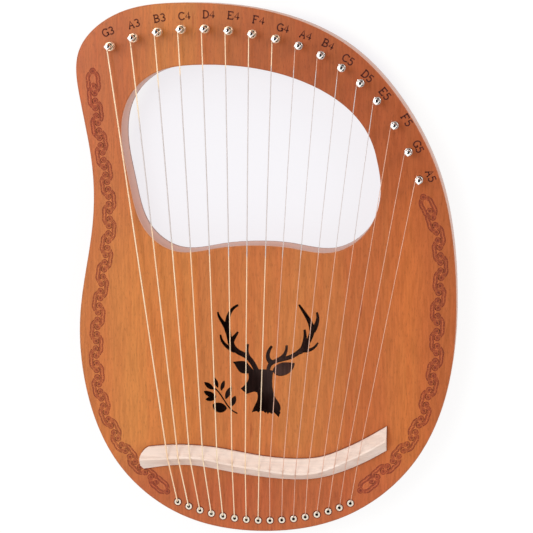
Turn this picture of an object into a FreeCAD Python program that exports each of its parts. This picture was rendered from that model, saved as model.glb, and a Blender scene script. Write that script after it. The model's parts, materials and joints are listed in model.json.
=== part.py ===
import FreeCAD, Part
import math
import os
from FreeCAD import Vector

# Sixteen-string lyre: a flat hollow box with a window, strung between a tail row of
# ferrules and an arc of tuning pins. Millimetres. The back lies on z = 0, the strings are
# above the soundboard, +Y points to the tuning pins and the origin is the plan centre.

# ---- driving dimensions -------------------------------------------------------------

BODY_DEPTH = 30.0
PLATE = 3.0
OUTER_WALL = 5.0
WINDOW_WALL = 5.0
BOARD_EDGE_ROUND = 1.5
WINDOW_EDGE_ROUND = 1.0
BACK_EDGE_ROUND = 1.0
TOP = BODY_DEPTH
INNER_TOP = BODY_DEPTH - PLATE

# Plan outline of the box and of its window, counter-clockwise, joined by a smooth curve.
OUTLINE = [
    (150, -30), (147.2, 22), (135, 78), (108, 131), (66, 176), (5, 203), (-66, 210),
    (-122, 199), (-147.8, 172), (-147.6, 137), (-138, 80), (-138, 40), (-149.2, -35),
    (-145, -98), (-119, -159), (-68, -199), (-3, -210), (63, -196), (119, -149), (145, -85),
]
WINDOW = [
    (86, 93), (70, 123), (35, 147), (-12, 160), (-52, 162), (-90, 154), (-109, 134),
    (-114, 102), (-108, 68), (-96, 32), (-72, 15.5), (-38, 18.5), (-12, 21), (20, 19.5),
    (52, 16.5), (79, 33), (90, 66),
]
INSET_SAMPLES = 64

NOTES = ["g3", "a3", "b3", "c4", "d4", "e4", "f4", "g4",
         "a4", "b4", "c5", "d5", "e5", "f5", "g5", "a5"]
WOUND_STRINGS = 8
WOUND_DIAMETERS = (1.05, 0.78)
PLAIN_DIAMETERS = (0.60, 0.48)

# Tuning pins stand along this arc, a little wider apart at the bass end and at the treble.
PIN_ARC = [(-121, 176.2), (-65, 189.6), (-10, 186.3), (44.2, 170), (87.5, 135.3),
           (111.9, 96.2), (120.4, 74.2)]
PIN_STEPS = [19.7] * 2 + [18.6] * 10 + [23.1] * 3
PIN_RADIUS = 2.5
PIN_FOOT_Z = 5.0
PIN_TOP_Z = 49.0
PIN_SQUARE_Z = 40.6
PIN_SQUARE_SIDES = (4.3, 3.7)
PIN_FOOT_CHAMFER = 0.8
PIN_CROWN_RADIUS = 5.0
PIN_BORE_RADIUS = PIN_RADIUS + 0.05
PIN_BOARD_HOLE_RADIUS = 2.75
PIN_BORE_FLOOR_Z = 4.4
PIN_EYE_Z = 39.4
COIL_TURNS = 3
COIL_PITCH_RATIO = 1.04
COIL_GAP = 0.12
COIL_FIT = 0.01
LEAD_TURN = 200.0
STRING_TURN = 300.0
STRING_TURN_GAP = 0.05
LEAD_REACH = 1.5
LEAD_BEND = 0.9
LEAD_END = 3.6
EYE_CLEARANCE = 0.1

# Tail row: each string comes up through a ferrule pressed into the soundboard.
TAIL_CENTRE = (-5.4, -29.5)
TAIL_RADIUS = 171.4
TAIL_FIRST_DEG = -112.5
TAIL_LAST_DEG = -64.6
FERRULE_FLANGE_RADIUS = 2.65
FERRULE_BODY_RADIUS = 2.0
FERRULE_BORE_RADIUS = 1.2
FERRULE_FLANGE = 0.8
FERRULE_LENGTH = 7.0
STRING_HOLE_RADIUS = 1.5
CUP_RADIUS = 2.9
CUP_RECESS = 0.2
CUP_DEPTH = 5.0
CUP_POCKET_RADIUS = 2.3
CUP_FLOOR = 1.0
CUP_HOLE_RADIUS = 0.9
BALL_RADIUS = 1.7
BALL_LENGTH = 2.8

# The bridge: its feet and crest, as y at stations along x.
BRIDGE_STATIONS = [
    (-104, -144.3, -152.6, -161.5), (-92, -142.6, -151.3, -159.8),
    (-72, -140.7, -149.7, -157.0), (-50, -141.1, -149.7, -157.6),
    (-28, -143.8, -153.6, -161.2), (-6, -147.3, -156.8, -164.1),
    (16, -149.2, -159.3, -165.6), (38, -148.3, -158.6, -164.7),
    (56, -143.0, -152.5, -160.2), (74, -134.3, -143.8, -152.7),
    (95, -121.7, -131.5, -141.0), (101, -117.8, -127.9, -137.5),
]
BRIDGE_LEFT_X = -100.4
BRIDGE_RIGHT_X = 96.5
BRIDGE_FOOT_Z = 32.2
BRIDGE_CREST_Z = 39.4
BRIDGE_CREST_HALF = 0.8
NOTCH_X = [-77.5, -69, -59.5, -49, -37.5, -25.5, -15, -4, 4.5, 15, 25, 35, 46.5, 56, 65.5,
           75.5]
NOTCH_CLEARANCE = 0.05
CREST_BEND = 4.0
FERRULE_BEND = 1.6

# The sound hole's strokes and leaves are this much wider than drawn, for the saw blade.
SAW_KERF = 0.6

BRACE_WIDTH = 8.0
BRACE_DEPTH = 12.0
BOARD_BRACE_Y = (-5.0, -134.0)
BACK_BRACE_Y = (-20.0, -125.0)
BACK_BRACE_DEPTH = 10.0
BRACE_END_GAP = 0.3


# ---- plan curves --------------------------------------------------------------------

def smooth_loop(points):
    """Closed smooth curve through plan points."""
    curve = Part.BSplineCurve()
    curve.interpolate(Points=[Vector(x, y, 0) for x, y in points], PeriodicFlag=True)
    return curve


def smooth_run(points):
    """Open smooth curve through plan points."""
    curve = Part.BSplineCurve()
    curve.interpolate(Points=[Vector(x, y, 0) for x, y in points])
    return curve


def moved_loop(points, inward):
    """The smooth loop through counter-clockwise points, moved inward by a distance."""
    curve = smooth_loop(points)
    span = curve.LastParameter - curve.FirstParameter
    moved = []
    for i in range(INSET_SAMPLES):
        u = curve.FirstParameter + span * i / INSET_SAMPLES
        spot = curve.value(u)
        along = curve.tangent(u)[0]
        moved.append((spot.x - along.y * inward, spot.y + along.x * inward))
    return smooth_loop(moved)


def prism(edges, z_low, z_high):
    """Solid with the given closed plan edges, from z_low to z_high."""
    face = Part.Face(Part.Wire(edges))
    face.translate(Vector(0, 0, z_low))
    return face.extrude(Vector(0, 0, z_high - z_low))


def loop_prism(curve, z_low, z_high):
    return prism([curve.toShape()], z_low, z_high)


def polygon_edges(points):
    corners = [Vector(x, y, 0) for x, y in points]
    pairs = zip(corners, corners[1:] + corners[:1])
    return [Part.LineSegment(a, b).toShape() for a, b in pairs]


def polygon_prism(points, z_low, z_high):
    return prism(polygon_edges(points), z_low, z_high)


def post(spot, radius, z_low, z_high):
    """Upright cylinder at a plan point."""
    return Part.makeCylinder(radius, z_high - z_low, Vector(spot[0], spot[1], z_low))


def rounded_rim(shape, z, radius, limit):
    """Round the edges lying at height z whose plan box is at least `limit` long."""
    edges = []
    for edge in shape.Edges:
        box = edge.BoundBox
        if abs(box.ZMin - z) < 1e-4 and abs(box.ZMax - z) < 1e-4 and box.DiagonalLength > limit:
            edges.append(edge)
    return shape.makeFillet(radius, edges)


# ---- places of the repeated parts -----------------------------------------------------

def pin_spots():
    """Plan centres of the sixteen tuning pins, bass to treble."""
    curve = smooth_run(PIN_ARC)
    spots = []
    for i in range(len(NOTES)):
        spot = curve.value(curve.parameterAtDistance(sum(PIN_STEPS[:i])))
        spots.append((spot.x, spot.y))
    return spots


def tail_spots():
    """Plan centres of the sixteen ferrules."""
    spots = []
    for i in range(len(NOTES)):
        share = i / (len(NOTES) - 1)
        angle = math.radians(TAIL_FIRST_DEG + (TAIL_LAST_DEG - TAIL_FIRST_DEG) * share)
        spots.append((TAIL_CENTRE[0] + TAIL_RADIUS * math.cos(angle),
                      TAIL_CENTRE[1] + TAIL_RADIUS * math.sin(angle)))
    return spots


def crest_spots():
    """Plan points where the strings cross the crest of the bridge."""
    crest = smooth_run([(x, y) for x, _, y, _ in BRIDGE_STATIONS])
    spots = []
    for x in NOTCH_X:
        cut = Part.Line(Vector(x, 0, 0), Vector(x, 1, 0))
        spot = crest.intersectCC(cut)[0]
        spots.append((x, spot.Y))
    return spots


def string_diameter(index):
    if index < WOUND_STRINGS:
        thick, thin = WOUND_DIAMETERS
        share = index / (WOUND_STRINGS - 1)
    else:
        thick, thin = PLAIN_DIAMETERS
        share = (index - WOUND_STRINGS) / (len(NOTES) - 1 - WOUND_STRINGS)
    return thick + (thin - thick) * share


# ---- wires ----------------------------------------------------------------------------

def unit(vector):
    return Vector(vector).normalize()


def rounded_path(corners, bends):
    """Straight runs through the corners, with a tangent arc at every inner corner."""
    edges = []
    start = corners[0]
    for i, bend in enumerate(bends, start=1):
        before = unit(corners[i] - corners[i - 1])
        after = unit(corners[i + 1] - corners[i])
        half_turn = before.getAngle(after) / 2
        reach = bend * math.tan(half_turn)
        arc_start = corners[i] - before * reach
        arc_end = corners[i] + after * reach
        depth = bend * (1 / math.cos(half_turn) - 1)
        arc_middle = corners[i] + unit(after - before) * depth
        edges.append(Part.LineSegment(start, arc_start).toShape())
        edges.append(Part.Arc(arc_start, arc_middle, arc_end).toShape())
        start = arc_end
    edges.append(Part.LineSegment(start, corners[-1]).toShape())
    return edges


def round_wire(edges, radius):
    """Solid of round section swept along joined edges."""
    first = edges[0]
    spot = first.valueAt(first.FirstParameter)
    along = first.tangentAt(first.FirstParameter)
    section = Part.Wire([Part.Circle(spot, along, radius).toShape()])
    return Part.Wire(edges).makePipeShell([section], True, True)


def coil_height(diameter):
    """Height from where a string meets its pin to where its coil ends."""
    return diameter + COIL_GAP + COIL_TURNS * diameter * COIL_PITCH_RATIO


def string_edges(index, pin, crest, tail):
    """Centre line: up through the ferrule, over the crest, part of a turn round the pin."""
    radius = string_diameter(index) / 2
    ring = PIN_RADIUS + STRING_TURN_GAP + radius
    pin_z = PIN_EYE_Z - coil_height(2 * radius)
    crest_z = BRIDGE_CREST_Z + 0.2 * radius
    mouth_z = TOP + FERRULE_FLANGE + 0.75 * radius
    to_pin = Vector(pin[0] - crest[0], pin[1] - crest[1], 0)
    free = math.sqrt(to_pin.Length ** 2 - ring ** 2)
    lean = math.asin(ring / to_pin.Length)
    heading = math.atan2(to_pin.y, to_pin.x) + lean
    touch = Vector(crest[0] + free * math.cos(heading), crest[1] + free * math.sin(heading),
                   pin_z)
    corners = [Vector(tail[0], tail[1], CUP_DEPTH - CUP_FLOOR - BALL_LENGTH / 2),
               Vector(tail[0], tail[1], mouth_z),
               Vector(crest[0], crest[1], crest_z),
               touch]
    edges = rounded_path(corners, [FERRULE_BEND, CREST_BEND])
    along = unit(corners[3] - corners[2])
    inward = unit(Vector(pin[0], pin[1], pin_z) - touch)
    axis = Vector(pin[0], pin[1], pin_z)
    wrapped = []
    for turned in (STRING_TURN / 2, STRING_TURN):
        angle = math.radians(turned)
        wrapped.append(axis + (along * math.sin(angle) - inward * math.cos(angle)) * ring)
    edges.append(Part.Arc(touch, *wrapped).toShape())
    return edges


def coil_rings(index, pin):
    """The whole turns of a string's coil, one touching ring above another."""
    diameter = string_diameter(index)
    ring = PIN_RADIUS + COIL_FIT + diameter / 2
    rings = []
    for turn in range(1, COIL_TURNS + 1):
        z = PIN_EYE_Z - turn * diameter * COIL_PITCH_RATIO
        rings.append(Part.makeTorus(ring, diameter / 2, Vector(pin[0], pin[1], z)))
    return rings


def lead_edges(index, pin, heading_deg):
    """Clockwise top part-turn of a coil, and the bend that takes it in through the pin's eye."""
    ring = PIN_RADIUS + COIL_FIT + string_diameter(index) / 2
    axis = Vector(pin[0], pin[1], PIN_EYE_Z)
    spots = []
    for turned in (0, LEAD_TURN / 2, LEAD_TURN):
        angle = math.radians(heading_deg - turned)
        spots.append(axis + Vector(math.cos(angle), math.sin(angle), 0) * ring)
    around = Part.Arc(*spots).toShape()
    end = spots[-1]
    radial = unit(end - axis)
    along = Vector(radial.y, -radial.x, 0)
    corner = end + along * LEAD_REACH
    far_side = axis + unit(axis - corner) * LEAD_END
    inward = rounded_path([end, corner, far_side], [LEAD_BEND])
    return around, inward


# ---- tuning pins, coils and strings ---------------------------------------------------

def tuning_pin(pin, lead):
    """Smooth round pin with a crowned square tapered head, eyed for the string."""
    x, y = pin
    body = post(pin, PIN_RADIUS, PIN_FOOT_Z, PIN_TOP_Z)
    foot = [edge for edge in body.Edges if edge.BoundBox.ZMax < PIN_FOOT_Z + 0.1]
    body = body.makeChamfer(PIN_FOOT_CHAMFER, foot)
    squares = []
    for z, side in zip((PIN_SQUARE_Z, PIN_TOP_Z), PIN_SQUARE_SIDES):
        half = side / 2
        corners = [Vector(x - half, y - half, z), Vector(x + half, y - half, z),
                   Vector(x + half, y + half, z), Vector(x - half, y + half, z)]
        squares.append(Part.makePolygon(corners + corners[:1]))
    square = Part.makeLoft(squares, True, True)
    crown = Part.makeSphere(PIN_CROWN_RADIUS, Vector(x, y, PIN_TOP_Z - PIN_CROWN_RADIUS))
    square = square.common(crown)
    square.rotate(Vector(x, y, 0), Vector(0, 0, 1), 45)
    block = Part.makeBox(8, 8, PIN_TOP_Z - PIN_SQUARE_Z, Vector(x - 4, y - 4, PIN_SQUARE_Z))
    body = body.cut(block.cut(square))
    return body.cut(lead)


# ---- wooden body ----------------------------------------------------------------------

def stroke(spine, widths):
    """Plan shape of one antler branch: a curved stroke whose width runs between widths."""
    curve = smooth_run(spine)
    count = 4 * (len(spine) - 1)
    left = []
    right = []
    for i in range(count + 1):
        share = i / count
        u = curve.FirstParameter + (curve.LastParameter - curve.FirstParameter) * share
        spot = curve.value(u)
        along = curve.tangent(u)[0]
        half = (widths[0] + (widths[1] - widths[0]) * share + SAW_KERF) / 2
        left.append((spot.x - along.y * half, spot.y + along.x * half))
        right.append((spot.x + along.y * half, spot.y - along.x * half))
    right.reverse()
    tip = Part.LineSegment(Vector(*left[-1], 0), Vector(*right[0], 0))
    root = Part.LineSegment(Vector(*right[-1], 0), Vector(*left[0], 0))
    return [smooth_run(left).toShape(), tip.toShape(), smooth_run(right).toShape(),
            root.toShape()]


def leaf(root, tip, bulges):
    """Plan shape of a leaf: two arcs from root to tip, bulging left and right."""
    start = Vector(root[0], root[1], 0)
    end = Vector(tip[0], tip[1], 0)
    along = unit(end - start)
    across = Vector(-along.y, along.x, 0)
    middle = (start + end) * 0.5
    left = middle + across * (bulges[0] + SAW_KERF / 2)
    right = middle - across * (bulges[1] + SAW_KERF / 2)
    return [Part.Arc(start, left, end).toShape(), Part.Arc(end, right, start).toShape()]


def pointed_loop(points):
    """Smooth loop with one sharp corner at its first point."""
    return [smooth_run(points + points[:1]).toShape()]


def stag_cutter():
    """Everything sawn out of the soundboard for the stag's head sound hole."""
    shapes = [
        stroke([(-7, -79), (-9.5, -74), (-15.5, -67.2), (-22, -64), (-26.6, -59),
                (-28.9, -52.5), (-30.3, -45.5), (-31.5, -40.5)], (3.5, 3.6)),
        stroke([(-21, -64.5), (-25.8, -60.5), (-28, -54)], (3.4, 4.6)),
        stroke([(-30, -48.5), (-32, -43.5), (-34.8, -39.5), (-36.9, -36), (-38, -32.4)],
               (4, 0.9)),
        stroke([(-30.2, -44), (-29.6, -36), (-26.8, -30.5), (-21.6, -26.6)], (3.5, 1.2)),
        stroke([(-11.5, -71.5), (-14.3, -66), (-13.8, -57.6)], (3.4, 1.2)),
        stroke([(-24.5, -63.2), (-31.5, -59.3), (-34.5, -55.5), (-35.8, -50.6)], (3.3, 0.9)),
        stroke([(-28, -58), (-26, -54), (-24.2, -51.4), (-21.8, -48)], (4.4, 0.9)),
        stroke([(2.4, -78), (4.2, -73.2), (10.5, -70), (20, -67.2), (28.1, -61.8),
                (34.3, -54), (37.3, -46), (38.7, -41)], (2.6, 3.5)),
        stroke([(27, -63.3), (31.5, -59.8), (33.5, -56.5)], (3.2, 3.6)),
        stroke([(5.5, -72.5), (1.9, -67), (2.9, -62.5), (5.2, -58.8)], (3.6, 1.4)),
        stroke([(37.2, -46), (35.5, -39.5), (31.5, -32.5), (26.6, -25.2)], (4.2, 1)),
        stroke([(37.7, -46), (40.5, -40.5), (41.5, -36), (40.6, -31)], (4.0, 1)),
        stroke([(10, -70), (15, -65.7), (16.9, -57.8)], (3.2, 1.2)),
        stroke([(29, -62.5), (31.3, -54), (31.1, -45)], (4.1, 1.2)),
        stroke([(31, -61.9), (36.8, -60.5), (41.7, -55.2)], (2.6, 0.8)),
        pointed_loop([(-26.1, -72.3), (-20.5, -71.4), (-15.6, -71.9), (-12.2, -75.5),
                      (-8.5, -81), (-13, -81.4), (-20, -80.7), (-23.2, -76.6)]),
        pointed_loop([(23.4, -72), (18, -71.5), (10.6, -72.9), (6, -79), (8.5, -81.9),
                      (15, -82.2), (20.2, -79)]),
        stag_head(),
        leaf((-41.2, -95), (-49.1, -89.2), (1.9, 1.6)),
        leaf((-38.1, -93.8), (-40.8, -85.4), (1.1, 1.3)),
        leaf((-35.6, -96), (-32.8, -87.4), (1.4, 1.2)),
        leaf((-31.9, -102.8), (-26.9, -92.2), (2.2, 1.4)),
        leaf((-27.8, -108.7), (-24, -99.6), (1.8, 1.9)),
        leaf((-39.4, -100.6), (-49.6, -96.5), (2.4, 1.5)),
        leaf((-39.4, -100.8), (-48.2, -103.3), (2.2, 1.2)),
        leaf((-30.8, -109.8), (-42.4, -107.2), (4.9, 2.6)),
        stroke([(-40.4, -94.2), (-35.5, -99.7), (-29.8, -108.4), (-22.4, -113.9)],
               (0.6, 0.5)),
    ]
    low, high = INNER_TOP - 1, TOP + 1
    solids = [prism(edges, low, high) for edges in shapes]
    return solids[0].multiFuse(solids[1:])


def stag_head():
    """Head and neck in profile, with the rough end of the neck at the bottom."""
    crown = [(6.4, -78.6), (-2, -77.6), (-11, -78.4)]
    face = [(-11, -78.4), (-13.5, -80.8), (-13.5, -85.6), (-14.8, -88.4), (-19.9, -93.8)]
    jaw = [(-14.9, -97.9), (-11.7, -96.7), (-8.8, -96), (-6.7, -96.7)]
    throat = [(-6.7, -96.7), (-6.6, -102.5), (-8.6, -107.1), (-10.8, -112.7)]
    nape = [(12.2, -109.6), (11, -104.7), (7.6, -99.3), (6.2, -95), (6.4, -78.6)]
    ragged = [(-10.8, -112.7), (-7, -111.6), (-5.6, -112.8), (-4.4, -111.4), (-1.6, -111.6),
              (0.2, -113.2), (0.8, -112), (1.9, -114), (3, -112.4), (5.2, -113.6),
              (6.8, -112.3), (8.8, -114.3), (10.7, -116.1), (11.4, -113.6), (12.1, -112.4),
              (11.5, -111), (12.2, -109.6)]
    chin = Part.LineSegment(Vector(*face[-1], 0), Vector(*jaw[0], 0))
    edges = [smooth_run(crown).toShape(), smooth_run(face).toShape(), chin.toShape(),
             smooth_run(jaw).toShape(), smooth_run(throat).toShape()]
    for start, end in zip(ragged, ragged[1:]):
        edges.append(Part.LineSegment(Vector(*start, 0), Vector(*end, 0)).toShape())
    edges.append(smooth_run(nape).toShape())
    return edges


def soundboard(pins, tails):
    board = loop_prism(smooth_loop(OUTLINE), INNER_TOP, TOP)
    board = rounded_rim(board, TOP, BOARD_EDGE_ROUND, 50)
    opening = loop_prism(smooth_loop(WINDOW), INNER_TOP - 1, TOP + 1)
    board = board.cut(opening)
    inner = [edge for edge in board.Edges
             if abs(edge.BoundBox.ZMin - TOP) < 1e-4 and 50 < edge.BoundBox.XLength < 230]
    board = board.makeFillet(WINDOW_EDGE_ROUND, inner)
    board = board.cut(stag_cutter())
    holes = [post(pin, PIN_BOARD_HOLE_RADIUS, INNER_TOP - 1, TOP + 1) for pin in pins]
    holes += [post(tail, FERRULE_BODY_RADIUS, INNER_TOP - 1, TOP + 1) for tail in tails]
    return board.cut(Part.Compound(holes))


def back_plate(tails):
    plate = loop_prism(smooth_loop(OUTLINE), 0, PLATE)
    plate = rounded_rim(plate, 0, BACK_EDGE_ROUND, 50)
    plate = plate.cut(loop_prism(smooth_loop(WINDOW), -1, PLATE + 1))
    holes = [post(tail, CUP_RADIUS, -1, PLATE + 1) for tail in tails]
    return plate.cut(Part.Compound(holes))


def outer_rim():
    rim = loop_prism(smooth_loop(OUTLINE), PLATE, INNER_TOP)
    return rim.cut(loop_prism(moved_loop(OUTLINE, OUTER_WALL), PLATE - 1, INNER_TOP + 1))


def window_rim():
    rim = loop_prism(moved_loop(WINDOW, -WINDOW_WALL), PLATE, INNER_TOP)
    return rim.cut(loop_prism(smooth_loop(WINDOW), PLATE - 1, INNER_TOP + 1))


def chamber(z_low, z_high, gap=0.0):
    """The hollow between the two rims, or what is left of it at a gap from them."""
    room = loop_prism(moved_loop(OUTLINE, OUTER_WALL + gap), z_low, z_high)
    window = moved_loop(WINDOW, -WINDOW_WALL - gap)
    return room.cut(loop_prism(window, z_low - 1, z_high + 1))


def pin_block(pins):
    """Solid shoulder that holds the tuning pins."""
    reach = [(-170, 139), (-60, 112), (60, 60), (170, 40), (170, 230), (-170, 230)]
    block = chamber(PLATE, INNER_TOP).common(polygon_prism(reach, PLATE - 1, INNER_TOP + 1))
    bores = [post(pin, PIN_BORE_RADIUS, PIN_BORE_FLOOR_Z, INNER_TOP + 1) for pin in pins]
    return block.cut(Part.Compound(bores))


def tail_block(tails):
    """Solid foot that takes the pull of the strings."""
    reach = polygon_prism([(-100, -230), (95, -230), (95, -150), (-100, -150)],
                          PLATE - 1, INNER_TOP + 1)
    hollow = post(TAIL_CENTRE, TAIL_RADIUS - 12, PLATE - 2, INNER_TOP + 2)
    block = chamber(PLATE, INNER_TOP).common(reach).cut(hollow)
    holes = []
    for tail in tails:
        holes.append(post(tail, STRING_HOLE_RADIUS, PLATE - 1, INNER_TOP + 1))
        holes.append(post(tail, CUP_RADIUS, PLATE - 1, CUP_DEPTH))
        holes.append(post(tail, FERRULE_BODY_RADIUS,
                          TOP + FERRULE_FLANGE - FERRULE_LENGTH, INNER_TOP + 1))
    for hole in holes:
        block = block.cut(hole)
    return block


def braces(centres, z_low, z_high):
    """Bars across the hollow, glued by one long face and ending just short of the rims."""
    bars = []
    for y in centres:
        slab = Part.makeBox(400, BRACE_WIDTH, z_high - z_low,
                            Vector(-200, y - BRACE_WIDTH / 2, z_low))
        bars += chamber(z_low, z_high, BRACE_END_GAP).common(slab).Solids
    return Part.Compound(bars)


def bridge(notch_tools):
    """Curved maple bridge: low upright sides, two slopes and a narrow notched crest."""
    sections = []
    for x, north, crest, south in BRIDGE_STATIONS:
        ring = [(south, TOP), (north, TOP), (north, BRIDGE_FOOT_Z),
                (crest + BRIDGE_CREST_HALF, BRIDGE_CREST_Z),
                (crest - BRIDGE_CREST_HALF, BRIDGE_CREST_Z), (south, BRIDGE_FOOT_Z)]
        corners = [Vector(x, y, z) for y, z in ring]
        sections.append(Part.makePolygon(corners + corners[:1]))
    body = Part.makeLoft(sections, True, False)
    left = BRIDGE_LEFT_X
    plan = [Part.LineSegment(Vector(left, -157.6, 0), Vector(left + 3.2, -162.5, 0)),
            Part.LineSegment(Vector(left + 3.2, -162.5, 0), Vector(0, -175, 0)),
            Part.LineSegment(Vector(0, -175, 0), Vector(BRIDGE_RIGHT_X, -160, 0)),
            Part.LineSegment(Vector(BRIDGE_RIGHT_X, -160, 0), Vector(BRIDGE_RIGHT_X, -110, 0)),
            Part.LineSegment(Vector(BRIDGE_RIGHT_X, -110, 0), Vector(-70, -130, 0)),
            Part.LineSegment(Vector(-70, -130, 0), Vector(left + 9, -142.2, 0)),
            Part.Arc(Vector(left + 9, -142.2, 0), Vector(left + 2.4, -145.6, 0),
                     Vector(left, -151, 0)),
            Part.LineSegment(Vector(left, -151, 0), Vector(left, -157.6, 0))]
    body = body.common(prism([edge.toShape() for edge in plan], TOP - 1, BRIDGE_CREST_Z + 2))
    for tool in notch_tools:
        body = body.cut(tool)
    return body


# ---- tail hardware --------------------------------------------------------------------

def ferrules(tails):
    """Flanged eyelets in the soundboard, one for each string."""
    top = TOP + FERRULE_FLANGE
    solids = []
    for tail in tails:
        flange = post(tail, FERRULE_FLANGE_RADIUS, TOP, top)
        edges = [e for e in flange.Edges if e.BoundBox.ZMin > top - 0.01]
        flange = flange.makeFillet(0.45, edges)
        eyelet = flange.fuse(post(tail, FERRULE_BODY_RADIUS, top - FERRULE_LENGTH, TOP))
        eyelet = eyelet.cut(post(tail, FERRULE_BORE_RADIUS, top - FERRULE_LENGTH - 1, top + 1))
        solids.append(eyelet.removeSplitter())
    return Part.Compound(solids)


def rear_cups(tails):
    """Cups set flush in the back, each with a floor that stops a ball end."""
    solids = []
    for tail in tails:
        cup = post(tail, CUP_RADIUS, CUP_RECESS, CUP_DEPTH)
        cup = cup.cut(post(tail, CUP_POCKET_RADIUS, -1, CUP_DEPTH - CUP_FLOOR))
        solids.append(cup.cut(post(tail, CUP_HOLE_RADIUS, 0, CUP_DEPTH + 1)))
    return Part.Compound(solids)


def ball_ends(tails):
    """Brass ends of the strings, pulled up against the floors of the cups."""
    top = CUP_DEPTH - CUP_FLOOR
    solids = []
    for i, tail in enumerate(tails):
        ball = post(tail, BALL_RADIUS, top - BALL_LENGTH, top)
        ball = ball.makeChamfer(0.3, [e for e in ball.Edges if e.BoundBox.DiagonalLength > 1
                                      and e.BoundBox.ZLength < 0.01])
        solids.append(ball.cut(post(tail, string_diameter(i) / 2, top - BALL_LENGTH / 2,
                                    top + 1)))
    return Part.Compound(solids)


# ---- build ------------------------------------------------------------------------------

def save(shape, node):
    shape.exportStep("parts/" + node + ".step")


def main():
    os.makedirs("parts", exist_ok=True)
    pins = pin_spots()
    tails = tail_spots()
    crests = crest_spots()

    notch_tools = []
    for i, note in enumerate(NOTES):
        radius = string_diameter(i) / 2
        edges = string_edges(i, pins[i], crests[i], tails[i])
        save(round_wire(edges, radius), "string_" + note)
        over_crest = edges[2:5]
        notch_tools.append(round_wire(over_crest, radius + NOTCH_CLEARANCE))

        touch = edges[-1].valueAt(edges[-1].FirstParameter)
        heading = math.degrees(math.atan2(touch.y - pins[i][1], touch.x - pins[i][0]))
        around, inward = lead_edges(i, pins[i], heading)
        lead = round_wire([around] + inward, radius)
        save(Part.Compound(coil_rings(i, pins[i]) + [lead]), "winding_" + note)
        save(tuning_pin(pins[i], round_wire(inward, radius + EYE_CLEARANCE)),
             "tuning_pin_" + note)

    save(soundboard(pins, tails), "soundboard")
    save(back_plate(tails), "back_plate")
    save(outer_rim(), "outer_rim")
    save(window_rim(), "window_rim")
    save(pin_block(pins), "pin_block")
    save(tail_block(tails), "tail_block")
    save(braces(BOARD_BRACE_Y, INNER_TOP - BRACE_DEPTH, INNER_TOP), "soundboard_braces")
    save(braces(BACK_BRACE_Y, PLATE, PLATE + BACK_BRACE_DEPTH), "back_braces")
    save(bridge(notch_tools), "bridge")
    save(ferrules(tails), "string_ferrules")
    save(rear_cups(tails), "rear_string_cups")
    save(ball_ends(tails), "string_ball_ends")


main()
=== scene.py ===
import json
import math

import bpy
from mathutils import Matrix, Vector


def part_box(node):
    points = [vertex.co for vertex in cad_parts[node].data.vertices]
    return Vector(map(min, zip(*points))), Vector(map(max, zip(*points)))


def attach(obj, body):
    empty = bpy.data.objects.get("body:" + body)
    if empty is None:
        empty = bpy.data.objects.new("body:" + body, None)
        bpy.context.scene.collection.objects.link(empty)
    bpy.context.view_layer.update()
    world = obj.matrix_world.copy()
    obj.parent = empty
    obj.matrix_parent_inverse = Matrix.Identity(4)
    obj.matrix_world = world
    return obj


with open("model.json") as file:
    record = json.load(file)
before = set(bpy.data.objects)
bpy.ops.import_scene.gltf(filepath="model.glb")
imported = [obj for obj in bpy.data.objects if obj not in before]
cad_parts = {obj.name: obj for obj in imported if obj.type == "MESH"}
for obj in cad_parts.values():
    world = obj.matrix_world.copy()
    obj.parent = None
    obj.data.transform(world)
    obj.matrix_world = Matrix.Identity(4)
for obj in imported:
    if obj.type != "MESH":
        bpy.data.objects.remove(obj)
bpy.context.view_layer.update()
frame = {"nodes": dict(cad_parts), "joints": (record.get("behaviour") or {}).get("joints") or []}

# A sixteen-string lyre lying on a pale floor. Metres, in the CAD row frame: the strings
# are above the soundboard (+Z) and the tuning pins are towards +Y.

BODY = "lyre_body"
NOTES = [joint["name"].split("_")[2] for joint in frame["joints"]]
WOUND = NOTES[:8]
MM = 0.001
BOARD_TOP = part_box("soundboard")[1].z
BACK_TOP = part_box("back_plate")[1].z


# ---- node materials ---------------------------------------------------------------------

def srgb(red, green, blue):
    """Linear colour of an 8-bit sRGB one."""
    linear = []
    for value in (red, green, blue):
        share = value / 255
        linear.append(share / 12.92 if share <= 0.04045 else ((share + 0.055) / 1.055) ** 2.4)
    return (*linear, 1.0)


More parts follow.
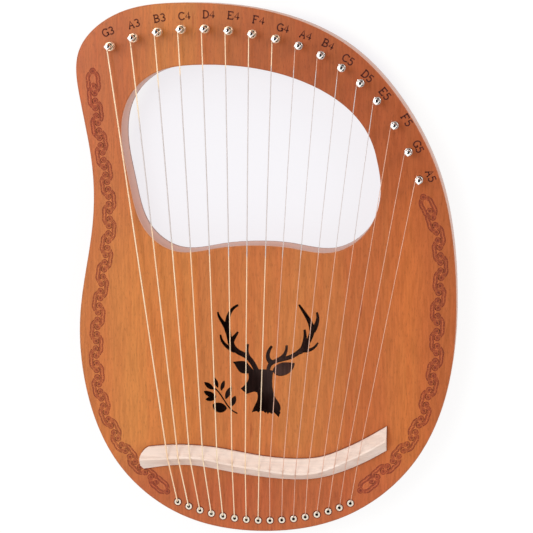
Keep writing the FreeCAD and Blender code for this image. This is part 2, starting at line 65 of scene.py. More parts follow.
class Finish:
    """One procedural material, with short names for the nodes it is made of."""

    def __init__(self, name, roughness, metallic=0.0, coat=0.0):
        self.material = bpy.data.materials.new(name)
        self.material.use_nodes = True
        self.tree = self.material.node_tree
        self.shader = self.tree.nodes["Principled BSDF"]
        self.shader.inputs["Roughness"].default_value = roughness
        self.shader.inputs["Metallic"].default_value = metallic
        self.shader.inputs["Coat Weight"].default_value = coat
        self.shader.inputs["Coat Roughness"].default_value = 0.25
        self.shader.inputs["Specular IOR Level"].default_value = 0.3
        self.place = self.node("ShaderNodeTexCoord").outputs["Object"]

    def node(self, kind, **settings):
        made = self.tree.nodes.new(kind)
        for key, value in settings.items():
            setattr(made, key, value)
        return made

    def plug(self, source, socket):
        """Link a socket, or set a plain value."""
        if isinstance(source, bpy.types.NodeSocket):
            self.tree.links.new(source, socket)
        else:
            socket.default_value = source

    def stretched(self, x, y, z, turn=0.0):
        """Object coordinates scaled along each axis."""
        mapping = self.node("ShaderNodeMapping")
        mapping.inputs["Scale"].default_value = (x, y, z)
        mapping.inputs["Rotation"].default_value = (0, 0, turn)
        self.plug(self.place, mapping.inputs["Vector"])
        return mapping.outputs["Vector"]

    def noise(self, vector, scale=1.0, detail=3.0, rough=0.55, warp=0.0):
        made = self.node("ShaderNodeTexNoise")
        self.plug(vector, made.inputs["Vector"])
        made.inputs["Scale"].default_value = scale
        made.inputs["Detail"].default_value = detail
        made.inputs["Roughness"].default_value = rough
        made.inputs["Distortion"].default_value = warp
        return made.outputs["Fac"]

    def math(self, operation, *values):
        made = self.node("ShaderNodeMath", operation=operation)
        for value, socket in zip(values, made.inputs):
            self.plug(value, socket)
        return made.outputs[0]

    def span(self, value, start, end, low=0.0, high=1.0):
        """value mapped from start..end to low..high, smooth and clamped."""
        made = self.node("ShaderNodeMapRange", interpolation_type="SMOOTHSTEP")
        self.plug(value, made.inputs["Value"])
        for name, number in (("From Min", start), ("From Max", end),
                             ("To Min", low), ("To Max", high)):
            made.inputs[name].default_value = number
        return made.outputs["Result"]

    def mix(self, share, first, second, blend="MIX"):
        made = self.node("ShaderNodeMix", data_type="RGBA", blend_type=blend)
        self.plug(share, made.inputs[0])
        self.plug(first, made.inputs[6])
        self.plug(second, made.inputs[7])
        return made.outputs[2]

    def shade(self, colour, fac, dark, light, start=0.3, end=0.7):
        """colour multiplied by dark..light as fac runs from start to end."""
        return self.mix(1.0, colour, self.span(fac, start, end, dark, light), "MULTIPLY")

    def axes(self):
        split = self.node("ShaderNodeSeparateXYZ")
        self.plug(self.place, split.inputs[0])
        return split.outputs

    def wall(self):
        """1 where the true surface is a wall, and 0 where it faces up or down."""
        split = self.node("ShaderNodeSeparateXYZ")
        self.plug(self.node("ShaderNodeNewGeometry").outputs["Normal"], split.inputs[0])
        return self.span(self.math("ABSOLUTE", split.outputs["Z"]), 0.35, 0.75, 1.0, 0.0)

    def bump(self, height, strength, distance):
        made = self.node("ShaderNodeBump")
        made.inputs["Strength"].default_value = strength
        made.inputs["Distance"].default_value = distance
        self.plug(height, made.inputs["Height"])
        self.plug(made.outputs["Normal"], self.shader.inputs["Normal"])

    def done(self, colour, roughness=None):
        self.plug(colour, self.shader.inputs["Base Color"])
        if roughness is not None:
            self.plug(roughness, self.shader.inputs["Roughness"])
        return self.material


def grained(finish, colour, contrast=1.0):
    """Vertical beech-like figure over a colour: warm and cool bands, streaks and flecks."""
    bands = finish.noise(finish.stretched(60, 4, 12), detail=3.0, warp=0.6)
    streaks = finish.noise(finish.stretched(620, 60, 90), detail=4.0, rough=0.6)
    flecks = finish.noise(finish.stretched(1300, 240, 400), detail=1.0)
    hue = finish.mix(finish.span(bands, 0.35, 0.65), (1.02, 0.965, 0.95, 1), (0.99, 1.03, 1.02, 1))
    colour = finish.mix(contrast, colour, hue, "MULTIPLY")
    colour = finish.shade(colour, streaks, 1 - 0.12 * contrast, 1 + 0.1 * contrast)
    colour = finish.shade(colour, flecks, 1 - 0.2 * contrast, 1.0, 0.28, 0.42)
    resin = finish.noise(finish.stretched(110, 13, 30), detail=2.0)
    dark = finish.mix(1.0, colour, (0.72, 0.58, 0.6, 1), "MULTIPLY")
    colour = finish.mix(finish.span(resin, 0.7, 0.78, 0.0, contrast), colour, dark)
    return colour, streaks, flecks


# Colours of the front's planks from the bass side to the treble side, with the place in mm
# where each is reached. Two neighbours 1 mm apart are a glue line.
# Besides the planks, the lower row holds painted light (lighter and yellower to the lower left),
# and the upper row holds painted shade (darker and redder).
LOWER_PLANKS_AND_LIGHT = [(-140, (194, 115, 70)), (-105, (207, 130, 75)), (-54.5, (203, 124, 71)),
                (-53.5, (197, 118, 71)), (30, (199, 121, 74)), (62, (193, 112, 68)),
                (64, (188, 107, 65)), (90, (189, 107, 64)), (112, (197, 113, 62)),
                (135, (179, 96, 56))]
UPPER_PLANKS_AND_SHADE = [(-140, (191, 106, 72)), (-112, (188, 105, 68)), (-80, (198, 123, 73)),
                (-54.5, (196, 120, 71)), (-53.5, (190, 112, 68)), (-15, (178, 97, 61)),
                (40, (169, 88, 54)), (110, (168, 87, 51))]
TAIL_COLOUR = (186, 100, 66)
VARNISH_TINT = (0.905, 0.835, 0.57, 1)
EDGE_TAN = srgb(203, 143, 112)
BOARD_HALF = 150 * MM

# The rectangle round the sound hole, and how far the painted shade on its walls fades out beyond
# it.
HOLE_TAIL = -120 * MM
HOLE_HEAD = -20 * MM
HOLE_SIDE = 60 * MM
HOLE_FADE = 5 * MM

# Middle and half size of the rounded rectangle that the window about fills.
WINDOW_MIDDLE = (-6 * MM, 87 * MM)
WINDOW_HALF = (98 * MM, 76 * MM)


def planks(wood, x, colours):
    """Colour across the front, from a list of places and colours."""
    ramp = wood.node("ShaderNodeValToRGB")
    wood.plug(wood.math("MULTIPLY_ADD", x, 0.5 / BOARD_HALF, 0.5), ramp.inputs[0])
    stops = ramp.color_ramp.elements
    stops.remove(stops[-1])
    for i, (place, colour) in enumerate(colours):
        position = 0.5 + 0.5 * place * MM / BOARD_HALF
        stop = stops[0] if i == 0 else stops.new(position)
        stop.position = position
        stop.color = srgb(*colour)
    return ramp.outputs["Color"]


def board_colour(wood):
    """Varnished front: plank colours with painted light, yellower and lighter to the lower left,
    and painted shade, redder at the head; redder at the tail too.
    """
    x, y, _ = wood.axes()
    low = planks(wood, x, LOWER_PLANKS_AND_LIGHT)
    high = planks(wood, x, UPPER_PLANKS_AND_SHADE)
    colour = wood.mix(wood.span(y, -0.03, 0.13), low, high)
    colour = wood.mix(wood.span(y, -0.13, -0.18), colour, srgb(*TAIL_COLOUR))
    colour = wood.mix(1.0, colour, VARNISH_TINT, "MULTIPLY")
    return grained(wood, colour)


def soundboard_wood():
    """The front, with sanded edges, and painted shade making the sound hole's walls near black."""
    wood = Finish("soundboard_wood", 0.42, coat=0.03)
    colour, streaks, flecks = board_colour(wood)
    wall = wood.wall()
    colour = wood.mix(wall, colour, EDGE_TAN)
    x, y, _ = wood.axes()
    along = wood.math("MULTIPLY", wood.span(y, HOLE_TAIL - HOLE_FADE, HOLE_TAIL),
                      wood.span(y, HOLE_HEAD + HOLE_FADE, HOLE_HEAD))
    across = wood.span(wood.math("ABSOLUTE", x), HOLE_SIDE + HOLE_FADE, HOLE_SIDE)
    in_hole = wood.math("MULTIPLY", along, across)
    # Painted shade: the walls of the sound hole are coloured near black, standing in for the dark
    # inside of the box.
    burnt = wood.math("MULTIPLY", wall, in_hole)
    colour = wood.mix(burnt, colour, srgb(34, 20, 16))
    wood.bump(wood.math("ADD", streaks, flecks), 0.12, 0.00012)
    return wood.done(colour, wood.span(streaks, 0.3, 0.7, 0.36, 0.5))


def bare_wood(name, colour):
    """Sawn wood inside the box, with no varnish."""
    wood = Finish(name, 0.65)
    shade, streaks, flecks = grained(wood, colour, 0.8)
    wood.bump(wood.math("ADD", streaks, flecks), 0.1, 0.0001)
    return wood.done(shade, wood.span(streaks, 0.3, 0.7, 0.6, 0.72))


def back_wood(colour):
    """Varnished outside like the front; its inner face, seen through the sound hole, has painted
    shade with a painted band of light.
    """
    wood = Finish("back_wood", 0.45)
    shade, streaks, flecks = grained(wood, colour, 0.8)
    shade = wood.mix(wood.wall(), shade, srgb(146, 104, 90))
    x, y, z = wood.axes()
    # Painted light and shade on the inner face: a lit band where light comes through the hole, and
    # dark shade round it.
    lit = wood.math("MULTIPLY", wood.span(x, 1 * MM, 7 * MM),
                    wood.span(y, -107 * MM, -85 * MM))
    painted_inner_shade = wood.mix(lit, srgb(78, 50, 44), srgb(124, 84, 74))
    painted_inner_shade = wood.shade(painted_inner_shade, streaks, 0.7, 1.2)
    shade = wood.mix(wood.span(z, BACK_TOP - 0.4 * MM, BACK_TOP - 0.1 * MM), shade, painted_inner_shade)
    wood.bump(wood.math("ADD", streaks, flecks), 0.1, 0.0001)
    return wood.done(shade, wood.span(streaks, 0.3, 0.7, 0.4, 0.52))


def rim_wood(name, front, back):
    """Sanded and varnished side wood: its grain runs round the body. It is paler to the back,
    which is painted light where the sides meet the bright floor.
    """
    wood = Finish(name, 0.38, coat=0.15)
    # Painted light: the colour pales from the front edge down towards the floor.
    colour = wood.mix(wood.span(wood.axes()[2], 26 * MM, 4 * MM), front, back)
    lines = wood.noise(wood.stretched(25, 25, 700), detail=3.0)
    cloud = wood.noise(wood.place, 30.0, 2.0)
    shade = wood.shade(colour, lines, 0.94, 1.04)
    shade = wood.shade(shade, cloud, 0.95, 1.04)
    wood.bump(lines, 0.06, 0.0001)
    return wood.done(shade, wood.span(cloud, 0.3, 0.7, 0.34, 0.44))


def maple():
    """Pale bare maple with fine grain lines running along the bridge."""
    wood = Finish("bridge_maple", 0.55)
    lines = wood.noise(wood.stretched(14, 620, 620), detail=4.0, warp=0.3)
    bands = wood.noise(wood.stretched(7, 130, 130), detail=2.0)
    specks = wood.noise(wood.stretched(260, 1500, 1500), detail=1.0)
    colour = wood.mix(wood.span(bands, 0.35, 0.65), srgb(233, 209, 194), srgb(241, 221, 208))
    colour = wood.shade(colour, lines, 0.93, 1.03)
    colour = wood.shade(colour, specks, 0.9, 1.0, 0.28, 0.4)
    wood.bump(lines, 0.15, 0.0002)
    return wood.done(colour, wood.span(lines, 0.3, 0.7, 0.5, 0.62))


def burn_and_shadow_wood(name, tint, patchy=0.0):
    """The front's own wood, tinted and mottled, with up to patchy of it spared: burnt for the
    engravings, and painted shadow for the contact lines.
    """
    char = Finish(name, 0.7)
    colour, streaks, _ = board_colour(char)
    mottle = char.noise(char.stretched(900, 900, 900), detail=4.0, rough=0.7)
    burnt = char.shade(char.mix(1.0, colour, tint, "MULTIPLY"), mottle, 0.85, 1.12)
    spared = char.span(char.noise(char.place, 800.0, 2.0), 0.5, 0.62, 0.0, patchy)
    char.bump(char.math("ADD", mottle, streaks), 0.4, 0.0002)
    return char.done(char.mix(spared, burnt, colour), char.span(mottle, 0.3, 0.7, 0.62, 0.8))


def polished_metal(name, colour, dull, smooth=0.1, rough=0.24):
    """Bright metal with faint scratches, and smudges that are duller and rougher."""
    metal = Finish(name, smooth, metallic=1.0)
    smudge = metal.noise(metal.place, 900.0, 3.0)
    scratch = metal.noise(metal.stretched(6000, 6000, 500), detail=2.0)
    shade = metal.mix(metal.span(smudge, 0.35, 0.65), colour, dull)
    metal.bump(scratch, 0.08, 0.00002)
    return metal.done(shade, metal.span(smudge, 0.3, 0.75, smooth, rough))


def ferrule_metal():
    """Cream nickel flanges, with the bores dark where the light does not reach."""
    metal = Finish("ferrule_nickel", 0.3, metallic=0.6)
    smudge = metal.noise(metal.place, 900.0, 3.0)
    shade = metal.mix(metal.span(smudge, 0.35, 0.65), srgb(252, 240, 222), srgb(236, 220, 200))
    shade = metal.shade(shade, metal.axes()[2], 0.02, 1.0, BOARD_TOP + 0.4 * MM,
                        BOARD_TOP + 0.7 * MM)
    metal.bump(smudge, 0.05, 0.00003)
    return metal.done(shade, metal.span(smudge, 0.3, 0.7, 0.25, 0.4))


def over_window(metal):
    """1 on the part of a string that is over the window, and 0 over the wood."""
    x, y, _ = metal.axes()
    shares = []
    for place, middle, half in zip((x, y), WINDOW_MIDDLE, WINDOW_HALF):
        off = metal.math("ABSOLUTE", metal.math("SUBTRACT", place, middle))
        shares.append(metal.math("POWER", metal.math("DIVIDE", off, half), 3.0))
    return metal.span(metal.math("ADD", *shares), 0.85, 1.0, 1.0, 0.0)


WAVE_PITCH = 0.314  # the repeat of a wave texture of scale 1


def string_metal(name, colour, dull, pitch, depth):
    """Wire with a painted reflection: warm where it lies over the front, and greyer over the
    window.

    Its wrapping repeats every pitch and shows with a strength of depth, from 0 to 1. It has
    painted shade inside its ferrule.
    """
    metal = Finish(name, 0.3, metallic=0.4)
    wave = metal.node("ShaderNodeTexWave", wave_type="BANDS", bands_direction="Y")
    metal.plug(metal.place, wave.inputs["Vector"])
    wave.inputs["Scale"].default_value = WAVE_PITCH / pitch
    wave.inputs["Distortion"].default_value = 0.0
    tarnish = metal.noise(metal.stretched(60, 12, 60), detail=4.0)
    shade = metal.mix(metal.span(tarnish, 0.35, 0.7), colour, dull)
    # Painted reflection: grey where the string lies over the window, warm over the front.
    shade = metal.mix(over_window(metal), shade, srgb(214, 206, 203))
    shade = metal.shade(shade, wave.outputs["Fac"], 1 - depth, 1.0, 0.1, 0.9)
    # Painted shade inside the ferrule.
    shade = metal.shade(shade, metal.axes()[2], 0.03, 1.0, BOARD_TOP + 1.4 * MM,
                        BOARD_TOP + 1.7 * MM)
    metal.bump(wave.outputs["Fac"], depth, 0.00006)
    return metal.done(shade, metal.span(tarnish, 0.3, 0.7, 0.3, 0.42))


def floor_paint():
    """Matt white studio floor, lit from within, with painted shade, faintly lilac, under the
    window.
    """
    paint = Finish("studio_floor", 0.75)
    cloud = paint.noise(paint.place, 3.0, 2.0)
    x, y, _ = paint.axes()
    away = paint.math("SQRT", paint.math("ADD", paint.math("POWER", x, 2.0),
                                         paint.math("POWER", paint.math("SUBTRACT", y, 85 * MM),
                                                    2.0)))
    # Painted shade: the floor's colour and glow are dimmer and lilac under the window.
    tint = paint.mix(paint.span(away, 108 * MM, 125 * MM), (0.905, 0.892, 0.925, 1), (1, 1, 1, 1))
    paint.plug(tint, paint.shader.inputs["Emission Color"])
    paint.shader.inputs["Emission Strength"].default_value = 0.84
    colour = paint.mix(1.0, (0.16, 0.16, 0.16, 1), tint, "MULTIPLY")
    return paint.done(paint.shade(colour, cloud, 0.995, 1.0))


def dress_frame():
    """Gives every CAD node its material."""
    looks = {
        "soundboard": soundboard_wood(),
        "back_plate": back_wood(srgb(196, 116, 72)),
        "outer_rim": rim_wood("rim_wood", srgb(176, 112, 84), srgb(192, 140, 114)),
        "window_rim": rim_wood("window_wood", srgb(188, 124, 96), srgb(196, 138, 112)),
        "pin_block": bare_wood("block_wood", srgb(196, 152, 104)),
        "soundboard_braces": bare_wood("brace_wood", srgb(216, 178, 130)),
        "bridge": maple(),
        "string_ferrules": ferrule_metal(),
        "rear_string_cups": polished_metal("cup_nickel", srgb(250, 240, 225),
                                           srgb(225, 212, 195)),
        "string_ball_ends": polished_metal("ball_brass", srgb(222, 184, 110),
                                           srgb(176, 138, 78)),
    }
    looks["tail_block"] = looks["pin_block"]
    looks["back_braces"] = looks["soundboard_braces"]
    chrome = polished_metal("pin_nickel", srgb(250, 248, 244), srgb(232, 230, 226), 0.03, 0.08)
    # The strings' warm colours are partly a painted reflection of the front.
    wound = string_metal("wound_string", srgb(255, 234, 202), srgb(252, 216, 178),
                         0.28 * MM, 0.12)
    plain = string_metal("plain_string", srgb(232, 186, 162), srgb(214, 164, 142),
                         4 * MM, 0.03)
    steel = polished_metal("coil_steel", srgb(250, 246, 242), srgb(226, 218, 212), 0.05, 0.12)
    copper = polished_metal("coil_copper", srgb(255, 232, 206), srgb(232, 196, 164), 0.06,
                            0.14)
    for note in NOTES:
        looks["tuning_pin_" + note] = chrome
        looks["winding_" + note] = copper if note in WOUND else steel
        looks["string_" + note] = wound if note in WOUND else plain
    for name, material in looks.items():
        mesh = frame["nodes"][name].data
        mesh.materials.clear()
        mesh.materials.append(material)


# ---- flat engraved strips ---------------------------------------------------------------

STRIP_TOP = 0.06 * MM
STRIP_SUNK = 0.05 * MM
STRIP_CREST = 0.86  # the share of a strip's width that is flat


class Strips:
    """Collects thin closed strips, laid on the soundboard, into one mesh."""

    def __init__(self):
        self.points = []
        self.faces = []
        self.slots = []

    def strip(self, path, width, slot, top=STRIP_TOP, closed=False):
        """A strip along plan points, top above the soundboard and sunk a little into it."""
        count = len(path)
        first = len(self.points)
        low = BOARD_TOP - STRIP_SUNK
        high = BOARD_TOP + top
        for i, spot in enumerate(path):
            if closed:
                along = path[(i + 1) % count] - path[i - 1]
            else:
                along = path[min(i + 1, count - 1)] - path[max(i - 1, 0)]
            side = Vector((-along.y, along.x)).normalized() * width / 2
            for share, z in ((-1, low), (-STRIP_CREST, high), (STRIP_CREST, high), (1, low)):
                self.points.append((spot.x + side.x * share, spot.y + side.y * share, z))
        for i in range(count if closed else count - 1):
            a = first + 4 * i
            b = first + 4 * ((i + 1) % count)
            for j in range(4):
                k = (j + 1) % 4
                self.face((a + j, a + k, b + k, b + j), slot)
        if not closed:
            end = first + 4 * (count - 1)
            self.face((first + 3, first + 2, first + 1, first), slot)
            self.face((end, end + 1, end + 2, end + 3), slot)

    def face(self, corners, slot):
        self.faces.append(corners)
        self.slots.append(slot)

    def build(self, name, materials):
        mesh = bpy.data.meshes.new(name)
        mesh.from_pydata(self.points, [], self.faces)
        for material in materials:
            mesh.materials.append(material)
        mesh.polygons.foreach_set("material_index", self.slots)
        mesh.update()
        piece = bpy.data.objects.new(name, mesh)
        bpy.context.scene.collection.objects.link(piece)
        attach(piece, BODY)
        return piece


def smooth_path(knots, step):
    """Evenly spaced plan points on a Catmull-Rom curve through knots."""
    ends = [knots[0] * 2 - knots[1]] + knots + [knots[-1] * 2 - knots[-2]]
    fine = []
    for a, b, c, d in zip(ends, ends[1:], ends[2:], ends[3:]):
        for i in range(20):
            t = i / 20
            fine.append(0.5 * ((2 * b) + (c - a) * t + (2 * a - 5 * b + 4 * c - d) * t ** 2
                               + (3 * b - a - 3 * c + d) * t ** 3))
    fine.append(knots[-1])
    spots = [fine[0]]
    carried = 0.0
    for a, b in zip(fine, fine[1:]):
        length = (b - a).length
        while carried + length >= step:
            share = (step - carried) / length
            a = a + (b - a) * share
            spots.append(a)
            length = (b - a).length
            carried = 0.0
        carried += length
    return spots


def bow(centre_x, centre_y, radius_x, radius_y, start, end, count=9):
    """Points on an arc, angles in degrees."""
    points = []
    for i in range(count):
        angle = math.radians(start + (end - start) * i / (count - 1))
        points.append((centre_x + radius_x * math.cos(angle),
                       centre_y + radius_y * math.sin(angle)))
    return points


# ---- engraved scroll border -------------------------------------------------------------

LEFT_BORDER = [(-136.8, 159), (-134.2, 126), (-129.4, 91), (-125, 60), (-125, 30), (-131, -10),
               (-135, -42), (-136.5, -75), (-132, -107), (-121, -135), (-105, -157),
               (-78, -181)]
RIGHT_BORDER = [(122, 63), (131, 44), (136, 22), (137.5, 0), (135.5, -20), (135, -45),
                (134.5, -66), (130, -90), (123, -116), (111, -138), (98, -153), (86, -165),
                (74, -175)]
BORDER_STEP = 0.5 * MM
SCROLL_STEP = 11.8 * MM
SCROLL_HALF = 10.9 * MM
SCROLL_WIDTH = 3.7 * MM
HEAD_RADIUS = 2.8 * MM
LINE_WIDTH = 0.75 * MM
HATCH_WIDTH = 0.4 * MM
FILL_TOP = 0.03 * MM
HATCH_TOP = 0.05 * MM
CROSSING_DROP = 0.012 * MM

# Slots of the border's three materials.
DARK = 0
LIGHT = 1
BARE = 2

# Middle line of one scroll, in mm along the border and out from it.
SCROLL_SPINE = [(-8.7, 0.2), (-7.3, 1.9), (-4.4, 3.8), (-1.2, 3.9), (0, 3.6), (1.2, 3.9),
                (4.4, 3.8), (7.3, 1.9), (8.7, 0.2)]


class Border:
    """Chain of C scrolls with curled heads, bulging left and right in turn and interlocked."""

    def __init__(self, knots, strips):
        self.strips = strips
        self.path = smooth_path([Vector(knot) * MM for knot in knots], BORDER_STEP)
        self.total = (len(self.path) - 1) * BORDER_STEP

    def place(self, along, off):
        """Plan point at a run along the path and a distance to its left."""
        last = len(self.path) - 1
        index = min(max(along / BORDER_STEP, 0), last - 0.001)
        low = int(index)
        spot = self.path[low].lerp(self.path[low + 1], index - low)
        before = self.path[max(low - 6, 0)]
        after = self.path[min(low + 7, last)]
        side = Vector((before.y - after.y, after.x - before.x)).normalized()
        return spot + side * off

    def scroll(self, middle, out, headed=True):
        """One C scroll, bulging to the left for out = 1 and to the right for out = -1.

        A scroll without heads lies a little lower than the one that it crosses.
        """
        spine = smooth_path([Vector(knot) * MM for knot in SCROLL_SPINE], 0.6 * MM)
        heads = (Vector(SCROLL_SPINE[0]) * MM, Vector(SCROLL_SPINE[-1]) * MM)

        def lay(spots):
            return [self.place(middle + spot[0], out * spot[1]) for spot in spots]

        def beside(share):
            """The spine moved sideways by a share of the scroll's width, up to its heads."""
            spots = []
            for before, spot, after in zip(spine, spine[1:], spine[2:]):
                along = after - before
                side = Vector((-along.y, along.x)).normalized()
                moved = spot + side * SCROLL_WIDTH * share
                if min((moved - head).length for head in heads) > HEAD_RADIUS * 0.9:
                    spots.append(moved)
            return spots

        drop = 0 if headed else CROSSING_DROP
        line_top = STRIP_TOP - drop
        self.strips.strip(lay(beside(0)), SCROLL_WIDTH, LIGHT, FILL_TOP - drop)
        self.strips.strip(lay(beside(0.42)), LINE_WIDTH, DARK, line_top)
        self.strips.strip(lay(beside(-0.3)[2:-2]), LINE_WIDTH * 0.8, DARK, line_top)
        self.strips.strip(lay(beside(0.06)[4:-4]), LINE_WIDTH * 0.6, BARE, line_top)
        self.strips.strip(lay(beside(-0.6)), LINE_WIDTH * 0.8, BARE, line_top)
        for spot, after in list(zip(spine, spine[1:]))[3:-3:2]:
            along = (after - spot).normalized()
            side = Vector((-along.y, along.x))
            hatch = [spot + (side * 0.36 - along * 0.1) * SCROLL_WIDTH,
                     spot + (along * 0.1 - side * 0.26) * SCROLL_WIDTH]
            self.strips.strip(lay(hatch), HATCH_WIDTH, DARK, HATCH_TOP - drop)
        if headed:
            self.curl(heads[0], 330, lay)
            self.curl(heads[1], -150, lay)

    def curl(self, head, end, lay):
        """A scroll's round head: a light disc, a line curled from 90 degrees to end, an eye."""
        disc = bow(head.x, head.y, HEAD_RADIUS * 0.5, HEAD_RADIUS * 0.5, 0, 342, 20)
        self.strips.strip(lay(disc), HEAD_RADIUS, LIGHT, FILL_TOP, closed=True)
        line = bow(head.x, head.y, HEAD_RADIUS * 0.8, HEAD_RADIUS * 0.8, 90, end, 17)
        self.strips.strip(lay(line), LINE_WIDTH * 0.9, DARK)
        eye = bow(head.x, head.y, HEAD_RADIUS * 0.2, HEAD_RADIUS * 0.2, 0, 330, 12)
        self.strips.strip(lay(eye), HEAD_RADIUS * 0.38, DARK, HATCH_TOP, closed=True)

    def engrave(self):
        """The whole chain; each end has a second scroll that closes it."""
        room = self.total - 2 * SCROLL_HALF
        steps = round(room / SCROLL_STEP)
        for i in range(steps + 1):
            out = 1 if i % 2 == 0 else -1
            self.scroll(SCROLL_HALF + room * i / steps, out)
            if i in (0, steps):
                self.scroll(SCROLL_HALF + room * i / steps, -out, headed=False)


def engrave_borders():
    strips = Strips()
    Border(LEFT_BORDER, strips).engrave()
    Border(RIGHT_BORDER, strips).engrave()
    materials = [burn_and_shadow_wood("burnt_dark", (0.45, 0.28, 0.42, 1), 0.45),
                 burn_and_shadow_wood("burnt_light", (0.74, 0.58, 0.75, 1), 0.5),
                 burn_and_shadow_wood("bare_line", (1.2, 1.25, 1.5, 1))]
    strips.build("engraved_border", materials)


# ---- note names beside the pins ---------------------------------------------------------

# Strokes of each letter and figure in a box one unit high.
GLYPHS = {
    "A": [[(0.08, 0), (0.42, 1), (0.76, 0)], [(0.2, 0.34), (0.64, 0.34)],
          [(0, 0), (0.2, 0)], [(0.64, 0), (0.84, 0)]],
    "B": [[(0.14, 0), (0.14, 1)], [(0, 1), (0.42, 1)] + bow(0.42, 0.76, 0.26, 0.24, 90, -90),
          [(0.14, 0.52), (0.44, 0.52)] + bow(0.44, 0.26, 0.32, 0.26, 90, -90) + [(0, 0)]],
    "C": [bow(0.46, 0.5, 0.42, 0.5, 42, 318, 15), [(0.77, 0.84), (0.79, 0.98)],
          [(0.77, 0.16), (0.79, 0.02)]],
    "D": [[(0.14, 0), (0.14, 1)], [(0, 1), (0.36, 1)] + bow(0.36, 0.5, 0.44, 0.5, 90, -90, 13)
          + [(0, 0)]],
    "E": [[(0.14, 0), (0.14, 1)], [(0, 1), (0.74, 1), (0.74, 0.82)], [(0.14, 0.52), (0.54, 0.52)],
          [(0, 0), (0.78, 0), (0.78, 0.2)]],
    "F": [[(0.14, 0), (0.14, 1)], [(0, 1), (0.74, 1), (0.74, 0.82)], [(0.14, 0.52), (0.54, 0.52)],
          [(0, 0), (0.3, 0)]],
    "G": [bow(0.46, 0.5, 0.42, 0.5, 42, 325, 15), [(0.77, 0.84), (0.79, 0.98)],
          [(0.8, 0.02), (0.8, 0.42)], [(0.56, 0.42), (0.88, 0.42)]],
    "3": [bow(0.34, 0.75, 0.26, 0.25, 150, -90) + bow(0.34, 0.26, 0.3, 0.26, 90, -150)],
    "4": [[(0.5, 0), (0.5, 1), (0.04, 0.32), (0.72, 0.32)]],
    "5": [[(0.6, 1), (0.16, 1), (0.12, 0.56)] + bow(0.32, 0.32, 0.3, 0.32, 120, -150, 11)],
}
GLYPH_PITCH = 0.95
NAME_HALF = 0.8835
GLYPH_HEIGHT = 5.6 * MM
GLYPH_STROKE = 1.15 * MM

# How far each name's middle lies along the arc from its pin, and outwards from it, in mm.
NAME_OFFSETS = [
    (1.5, 11.5), (2.5, 10.5), (2.5, 10.5), (2.5, 10), (2, 11), (2, 11.5), (2.5, 11), (3, 9),
    (2, 9), (1, 9.5), (0.5, 7.5), (0.5, 7), (0, 7.5), (2, 9.5), (0, 8), (1, 9),
]


def pin_spot(note):
    """Plan point in the middle of a note's tuning pin."""
    low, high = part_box("tuning_pin_" + note)
    middle = (low + high) / 2
    return Vector((middle.x, middle.y))


def note_names():
    """Each note's name, outside its pin and turned along the arc of pins."""
    strips = Strips()
    spots = [pin_spot(note) for note in NOTES]
    for i, note in enumerate(NOTES):
        before = spots[max(i - 1, 0)]
        after = spots[min(i + 1, len(spots) - 1)]
        right = (after - before).normalized()
        up = Vector((-right.y, right.x))
        along, out = NAME_OFFSETS[i]
        centre = spots[i] + (right * along + up * out) * MM
        corner = centre - (right * NAME_HALF + up * 0.5) * GLYPH_HEIGHT
        for j, letter in enumerate(note.upper()):
            for line in GLYPHS[letter]:
                path = []
                for x, y in line:
                    path.append(corner + (right * (x + j * GLYPH_PITCH) + up * y) * GLYPH_HEIGHT)
                strips.strip(path, GLYPH_STROKE, 0)
    strips.build("engraved_note_names", [burn_and_shadow_wood("burnt_names", (0.2, 0.11, 0.15, 1))])


# ---- painted contact shadow round the ferrules and the foot of the bridge ---------------

SHADOW_RING_RADIUS = 2.95 * MM
SHADOW_RING_WIDTH = 0.9 * MM
FOOT_SHADOW_WIDTH = 1.3 * MM


def foot_outline(node):
    """Plan points in order round the flat face that a CAD node stands on."""
    mesh = frame["nodes"][node].data
    low = min(corner.co.z for corner in mesh.vertices)
    uses = {}
    for face in mesh.polygons:
        if all(mesh.vertices[i].co.z < low + 0.01 * MM for i in face.vertices):
            for edge in face.edge_keys:
                uses[edge] = uses.get(edge, 0) + 1
    beside = {}
    for (a, b), count in uses.items():
        if count == 1:
            beside.setdefault(a, []).append(b)
            beside.setdefault(b, []).append(a)
    first = min(beside)
    loop = [first]
    following = beside[first][0]
    while following != first:
        before = loop[-1]
        loop.append(following)
        ways = beside[following]
        following = ways[1] if ways[0] == before else ways[0]
    return [mesh.vertices[i].co.xy for i in loop]


def ferrule_spots():
    """Plan point of each string's lower end, which stands in the middle of its ferrule."""
    spots = []
    for note in NOTES:
        corners = [corner.co for corner in frame["nodes"]["string_" + note].data.vertices]
        low = min(corner.z for corner in corners)
        foot = [corner.xy for corner in corners if corner.z < low + 0.01 * MM]
        spots.append(sum(foot, Vector((0, 0))) / len(foot))
    return spots


def contact_shadow_lines():
    """Painted contact shadow: a dark line round the foot of the bridge and round each ferrule."""
    strips = Strips()
    strips.strip(foot_outline("bridge"), FOOT_SHADOW_WIDTH, 0, closed=True)
    for spot in ferrule_spots():
        ring = [spot + Vector(point) for point in bow(0, 0, SHADOW_RING_RADIUS, SHADOW_RING_RADIUS, 0, 345, 24)]
        strips.strip(ring, SHADOW_RING_WIDTH, 0, closed=True)
    # Painted shadow: the front's wood darkened along the bridge's foot and round the ferrules.
    strips.build("painted_contact_shadows", [burn_and_shadow_wood("contact_shadow_paint", (0.42, 0.27, 0.27, 1))])


# ---- studio -----------------------------------------------------------------------------

CAMERA_PLACE = (0.195, 0.225, 1.538)
CAMERA_AIM = (0.00086, 0.00462, 0.030)
SKY_LEVEL = 1.25


def area_light(name, place, aim, size, power, colour=(1, 1, 1)):
    lamp = bpy.data.lights.new(name, "AREA")
    lamp.shape = "DISK"
    lamp.size = size
    lamp.energy = power
    lamp.color = colour
    light = bpy.data.objects.new(name, lamp)
    light.location = place
    light.rotation_euler = (Vector(aim) - Vector(place)).to_track_quat("-Z", "Y").to_euler()
    bpy.context.scene.collection.objects.link(light)


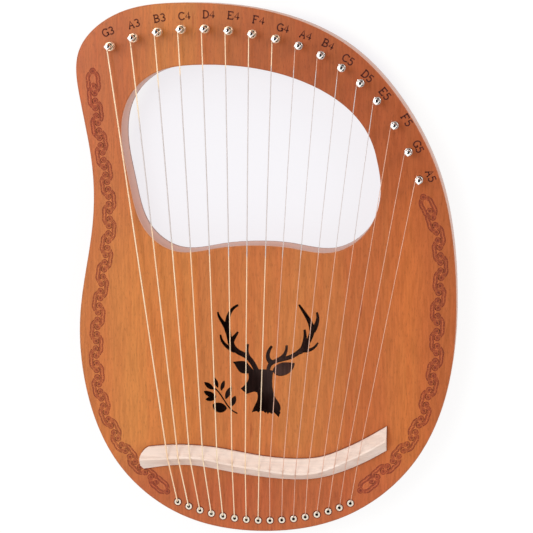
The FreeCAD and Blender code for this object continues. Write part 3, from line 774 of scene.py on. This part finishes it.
def sky():
    """White all round, but dark at the horizon and where the camera hangs overhead.

    The two dark parts draw the edges of the metal.
    """
    world = bpy.data.worlds.new("studio")
    world.use_nodes = True
    tree = world.node_tree
    way = tree.nodes.new("ShaderNodeTexCoord").outputs["Generated"]

    def span(value, start, end, low, high):
        made = tree.nodes.new("ShaderNodeMapRange")
        made.interpolation_type = "SMOOTHSTEP"
        tree.links.new(value, made.inputs["Value"])
        for name, number in (("From Min", start), ("From Max", end),
                             ("To Min", low), ("To Max", high)):
            made.inputs[name].default_value = number
        return made.outputs["Result"]

    axes = tree.nodes.new("ShaderNodeSeparateXYZ")
    tree.links.new(way, axes.inputs[0])
    above = span(axes.outputs["Z"], 0.1, 0.6, 0.03, SKY_LEVEL)
    toward = tree.nodes.new("ShaderNodeVectorMath")
    toward.operation = "DOT_PRODUCT"
    tree.links.new(way, toward.inputs[0])
    toward.inputs[1].default_value = Vector(CAMERA_PLACE).normalized()
    hood = span(toward.outputs["Value"], 0.84, 0.92, 1.0, 0.03)
    both = tree.nodes.new("ShaderNodeMath")
    both.operation = "MULTIPLY"
    tree.links.new(above, both.inputs[0])
    tree.links.new(hood, both.inputs[1])
    tree.links.new(both.outputs[0], tree.nodes["Background"].inputs["Strength"])
    tree.nodes["Background"].inputs["Color"].default_value = (1, 1, 1, 1)
    bpy.context.scene.world = world


def studio():
    sky()
    area_light("key", (-0.9, 0.6, 2.0), (0, 0, 0), 1.2, 16, (1.0, 0.985, 0.97))
    area_light("side", (1.8, 1.2, 1.0), (0, 0, 0), 1.2, 14)

    half = 4.0
    mesh = bpy.data.meshes.new("floor")
    mesh.from_pydata([(-half, -half, 0), (half, -half, 0), (half, half, 0), (-half, half, 0)],
                     [], [(0, 1, 2, 3)])
    mesh.materials.append(floor_paint())
    floor = bpy.data.objects.new("floor", mesh)
    floor.location.z = -0.5 * MM
    bpy.context.scene.collection.objects.link(floor)


def camera():
    """Looks down from above the treble shoulder through a long lens."""
    data = bpy.data.cameras.new("camera")
    data.lens = 132.1
    data.sensor_width = 36
    eye = bpy.data.objects.new("camera", data)
    eye.location = CAMERA_PLACE
    forward = (Vector(CAMERA_AIM) - Vector(CAMERA_PLACE)).normalized()
    right = forward.cross(Vector((0, 1, 0))).normalized()
    up = right.cross(forward)
    eye.rotation_euler = Matrix((right, up, -forward)).transposed().to_euler()
    bpy.context.scene.collection.objects.link(eye)
    bpy.context.scene.camera = eye
    bpy.context.scene.view_settings.view_transform = "Standard"


camera()
studio()
dress_frame()
engrave_borders()
note_names()
contact_shadow_lines()
